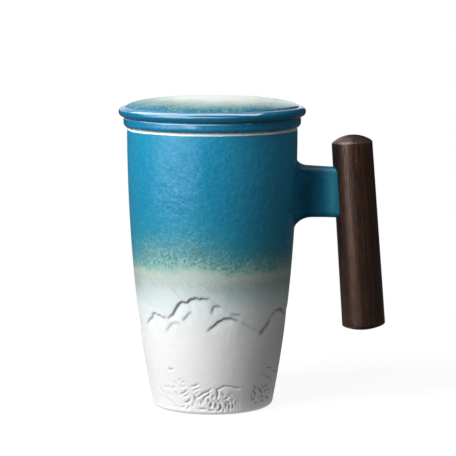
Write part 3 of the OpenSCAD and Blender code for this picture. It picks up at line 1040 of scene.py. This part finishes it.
def make_floor():
    """A pale floor that takes the object's shadow near it, is plain white further out, lights the edge of
    the foot a little and is clear from below."""
    mesh = bpy.data.meshes.new("floor")
    corners = [(x * floor_half, y * floor_half, 0) for x, y in ((-1, -1), (1, -1), (1, 1), (-1, 1))]
    mesh.from_pydata(corners, [], [(0, 1, 2, 3)])
    floor = bpy.data.objects.new("floor", mesh)
    floor.location.z = -floor_gap
    bpy.context.scene.collection.objects.link(floor)
    material, tree, shader = new_material("pale floor")
    tree.nodes.remove(shader)
    coords = own_place(tree)
    distance = add(tree, "ShaderNodeVectorMath", {"operation": "LENGTH"}, i0=coords).outputs["Value"]
    far = spread(tree, distance, *shadow_fade)
    lit = add(tree, "ShaderNodeBsdfDiffuse", Color=grey(floor_shade))
    glow = add(tree, "ShaderNodeEmission", Color=grey(1), Strength=floor_glow)
    near = add(tree, "ShaderNodeAddShader", i0=lit.outputs[0], i1=glow.outputs[0])
    white = add(tree, "ShaderNodeEmission", Color=grey(1), Strength=1.0)
    shown = add(tree, "ShaderNodeMixShader", i0=far, i1=near.outputs[0], i2=white.outputs[0])
    dim = add(tree, "ShaderNodeBsdfDiffuse", Color=grey(floor_bounce))
    ring = product(tree, spread(tree, distance, *foot_glow_in, hollow_glow, foot_glow),
                   spread(tree, distance, *foot_glow_out, 1, 0))
    lift = add(tree, "ShaderNodeEmission", Color=grey(1), Strength=ring)
    under = add(tree, "ShaderNodeAddShader", i0=dim.outputs[0], i1=lift.outputs[0])
    both = add(tree, "ShaderNodeMixShader", i0=seen_share(tree), i1=under.outputs[0], i2=shown.outputs[0])
    clear = add(tree, "ShaderNodeBsdfTransparent")
    from_below = tree.nodes.new("ShaderNodeNewGeometry").outputs["Backfacing"]
    sided = add(tree, "ShaderNodeMixShader", i0=from_below, i1=both.outputs[0], i2=clear.outputs[0])
    feed(tree, tree.nodes["Material Output"], Surface=sided.outputs[0])
    mesh.materials.append(material)


def make_sheet(name, rows, columns, spot, colour, glow=0, soft=0):
    """A curved sheet of the set that only reflections see. The spot function gives its points in m, and
    soft is the share of its width over which its glow fades out at each side."""
    points = [spot(i / rows, j / columns) for i in range(rows + 1) for j in range(columns + 1)]
    mesh = bpy.data.meshes.new(name)
    mesh.from_pydata(points, [], quads(rows + 1, columns + 1, False))
    sheet = bpy.data.objects.new(name, mesh)
    bpy.context.scene.collection.objects.link(sheet)
    for ray in ("camera", "diffuse", "shadow", "transmission", "volume_scatter"):
        setattr(sheet, "visible_" + ray, False)
    material, tree, shader = new_material(name)
    feed(tree, shader, Base_Color=(*colour, 1), Roughness=1.0, Emission_Color=grey(1), Emission_Strength=glow)
    if soft:
        shares = [min(j, columns - j) / columns for j in range(columns + 1)] * (rows + 1)
        layer = mesh.attributes.new("fade", "FLOAT", "POINT")
        layer.data.foreach_set("value", smooth(np.array(shares) / soft).astype(np.float32))
        feed(tree, shader, Emission_Strength=product(tree, layer_of(tree, "fade"), glow))
    mesh.materials.append(material)


def around(turn, radius, height):
    """A spot at a turn from the front, a distance from the axis and a height."""
    return radius * math.sin(turn), -radius * math.cos(turn), height


def drape_spot(share, turn_share):
    """A dark cloth on the floor that rises around the lamps, low behind the mug."""
    hole_r = 0.06
    cloth_w = 1.24
    lift = 0.0005
    turn = 2 * math.pi * turn_share
    wall_h = 0.9 + 0.75 * math.cos(turn)
    return around(turn, hole_r + cloth_w * min(1, 2 * share), lift + wall_h * max(0, 2 * share - 1))


def card_spot(share, turn_share):
    """A white card above the lid that lights its rolled edge and comes down at the left."""
    card_r = 0.5
    card_z = 0.14
    crown = 104
    degrees = -124 + 224 * turn_share
    left_dip = 34 * smooth((-40 - degrees) / 40)
    right_dip = 26 * smooth((degrees - 20) / 40)
    lowest = 54 - left_dip - right_dip
    rise = math.radians(lowest + (crown - lowest) * share)
    return around(math.radians(degrees), card_r * math.cos(rise), card_z + card_r * math.sin(rise))


def upright_card(card_r, first, last, low, high):
    """Spots of an upright card that bends around the mug, between two turns and two heights."""
    def spot(share, turn_share):
        turn = math.radians(first + (last - first) * turn_share)
        return around(turn, card_r, low + (high - low) * share)
    return spot


def canopy_spot(share, turn_share):
    """A dark canopy high above the lid, a little behind it."""
    canopy_r = 0.3
    canopy_z = 0.7
    back = 0.05
    x, y, z = around(2 * math.pi * turn_share, canopy_r * share, canopy_z)
    return x, y + back, z


def hood_spot(share, across_share):
    """A dark hood around the end of the handle, which otherwise shows the white wall."""
    hood_x = 0.056
    hood_w = 0.108
    hood_z = 0.125
    hood_r = 0.07
    tip = math.radians(150 * share)
    return hood_x + hood_w * across_share, hood_r * math.cos(tip), hood_z + hood_r * math.sin(tip)


def make_world():
    """White to the eye and in reflections, and dim as a light."""
    world = bpy.data.worlds.new("studio")
    bpy.context.scene.world = world
    world.use_nodes = True
    tree = world.node_tree
    strength = spread(tree, seen_share(tree), 0, 1, world_light, 1.0)
    feed(tree, tree.nodes["Background"], Color=grey(1), Strength=strength)


def make_lamp(name, turn, rise, distance, size, power, shows=True):
    """A soft box pointed at the mug, with its turn from the front and its rise in degrees, and whether
    it shows in reflections."""
    lamp = bpy.data.lights.new(name, "AREA")
    lamp.shape = "RECTANGLE"
    lamp.size, lamp.size_y = size
    lamp.energy = power
    rig = bpy.data.objects.new(name, lamp)
    target = Vector(lamp_target)
    across = distance * math.cos(math.radians(rise))
    above = distance * math.sin(math.radians(rise))
    rig.location = target + Vector(around(math.radians(turn), across, above))
    rig.rotation_mode = "QUATERNION"
    rig.rotation_quaternion = (target - rig.location).to_track_quat("-Z", "Y")
    rig.visible_glossy = shows
    bpy.context.scene.collection.objects.link(rig)


def make_camera():
    """Long lens, a little above the lid and level with the photograph's view."""
    camera = bpy.data.cameras.new("camera")
    camera.sensor_width = camera_sensor
    camera.lens = camera_lens
    eye = bpy.data.objects.new("camera", camera)
    eye.location = camera_spot
    eye.rotation_euler = (math.radians(90 - camera_tilt), 0, 0)
    bpy.context.scene.collection.objects.link(eye)
    bpy.context.scene.camera = eye


make_mug()
make_lug()
make_handle()
make_lid()
dress_node("strainer", strainer_glaze())
dress_node("handle_glue", cured_glue())

mug_card = upright_card(0.5, -96, -12, 0.043, 0.082)
wood_card = upright_card(0.49, -38, -16, 0.041, 0.1)
collar_card = upright_card(0.07, -74, 26, 0.1402, 0.148)
make_floor()
make_world()
make_sheet("dark drape", 2, 48, drape_spot, DRAPE_DARK)
make_sheet("white card", 6, 24, card_spot, CARD_WHITE, glow=10)
make_sheet("card for the mug", 1, 32, mug_card, CARD_WHITE, glow=15, soft=0.4)
make_sheet("card for the wood", 1, 24, wood_card, CARD_WHITE, glow=13, soft=0.35)
make_sheet("card for the collar", 1, 32, collar_card, CARD_WHITE, glow=12, soft=0.4)
make_sheet("dark canopy", 1, 24, canopy_spot, CLOTH_DARK)
make_sheet("dark hood", 10, 1, hood_spot, CLOTH_DARK)
make_lamp("key", turn=-50, rise=30, distance=0.9, size=(0.6, 0.95), power=12.6)
make_lamp("fill", turn=-12, rise=62, distance=0.8, size=(1.0, 0.2), power=1.8, shows=False)
make_lamp("side fill", turn=95, rise=20, distance=0.8, size=(0.6, 0.6), power=0.6, shows=False)
make_lamp("back fill", turn=180, rise=12, distance=0.9, size=(0.8, 0.6), power=6, shows=False)
make_camera()
bpy.context.scene.view_settings.view_transform = "Standard"
